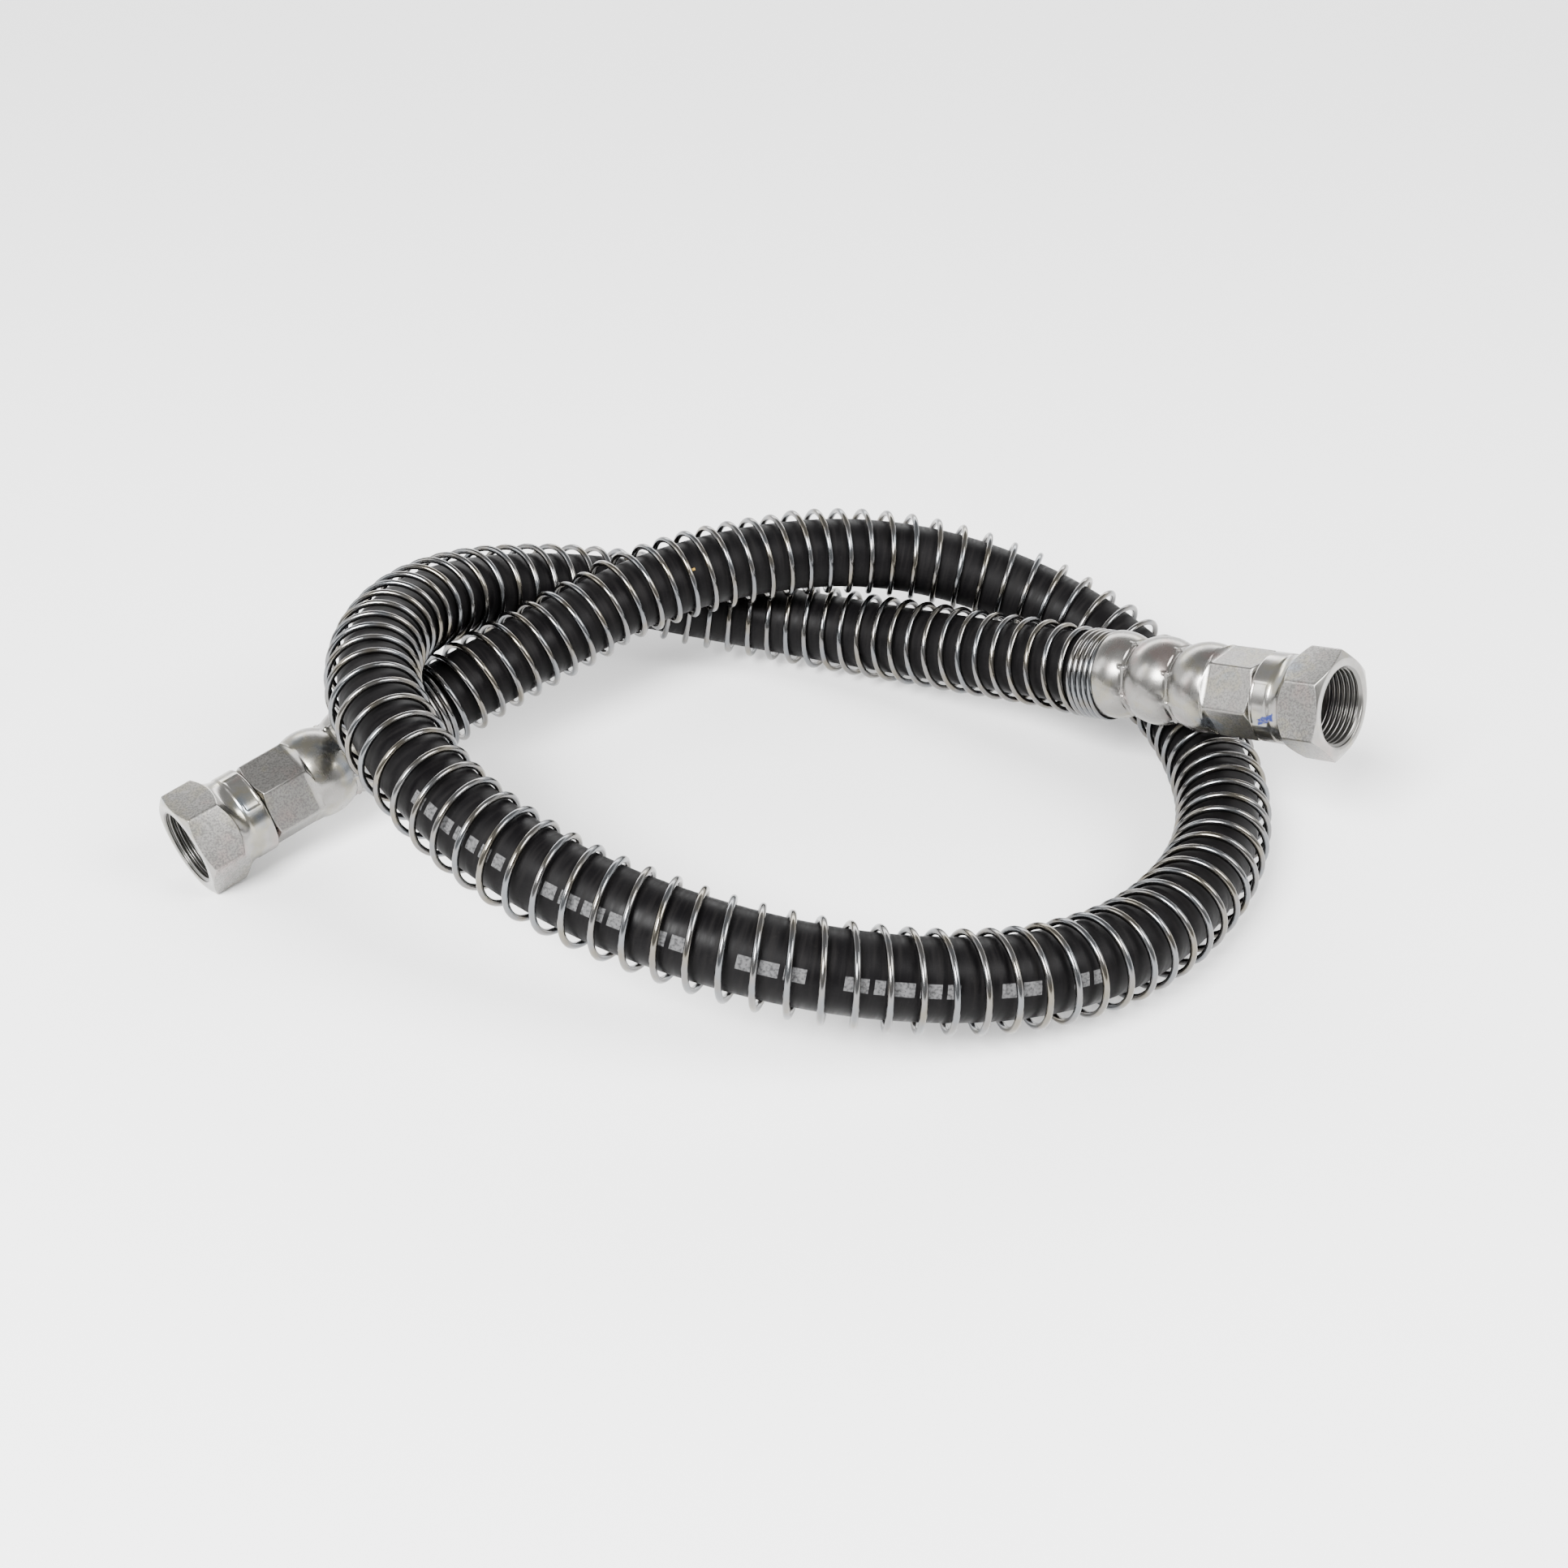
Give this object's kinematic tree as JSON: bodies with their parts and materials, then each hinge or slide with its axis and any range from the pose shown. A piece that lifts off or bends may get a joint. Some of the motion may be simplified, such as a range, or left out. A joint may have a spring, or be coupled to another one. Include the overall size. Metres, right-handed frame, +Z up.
{
  "type": "hydraulic hose assembly",
  "caption": "Rubber hydraulic hose in a full-length spring guard, with a crimped socket and a free-turning swivel nut at each end, lying in one loop.",
  "frame": {"origin": "on the surface the hose lies on, under the middle of the box round its two end fittings", "axes": "+Z up; +X from the left fitting to the right fitting; +Y away from the viewer, towards the far side of the loop"},
  "size_m": [0.3303, 0.2199, 0.0656],
  "materials": {
    "zinc_plate": "bright zinc plate, satin milled flats",
    "guard_wire": "bright drawn zinc-plated spring wire",
    "cover_rubber": "satin black rubber",
    "lining_rubber": "smooth black oil-proof rubber",
    "braid_wire": "brass-coated braid wire with rubber between"
  },
  "bodies": {
    "hose_line": {"left_nipple": "zinc_plate", "left_socket": "zinc_plate", "right_nipple": "zinc_plate", "right_socket": "zinc_plate", "hose_lining": "lining_rubber", "hose_reinforcement": "braid_wire", "hose_cover": "cover_rubber", "spring_guard": "guard_wire"},
    "left_nut_body": {"left_nut": "zinc_plate"},
    "right_nut_body": {"right_nut": "zinc_plate"}
  },
  "joints": [
    {"name": "left_nut_spin", "type": "hinge", "parent": "hose_line", "child": "left_nut_body", "pos_m": [-0.15616, -0.02818, 0.01325], "axis": [-0.7529, -0.6361, -0.1688], "continuous": true},
    {"name": "right_nut_spin", "type": "hinge", "parent": "hose_line", "child": "right_nut_body", "pos_m": [0.15574, -0.01661, 0.05129], "axis": [0.7265, -0.642, 0.245], "continuous": true}
  ]
}
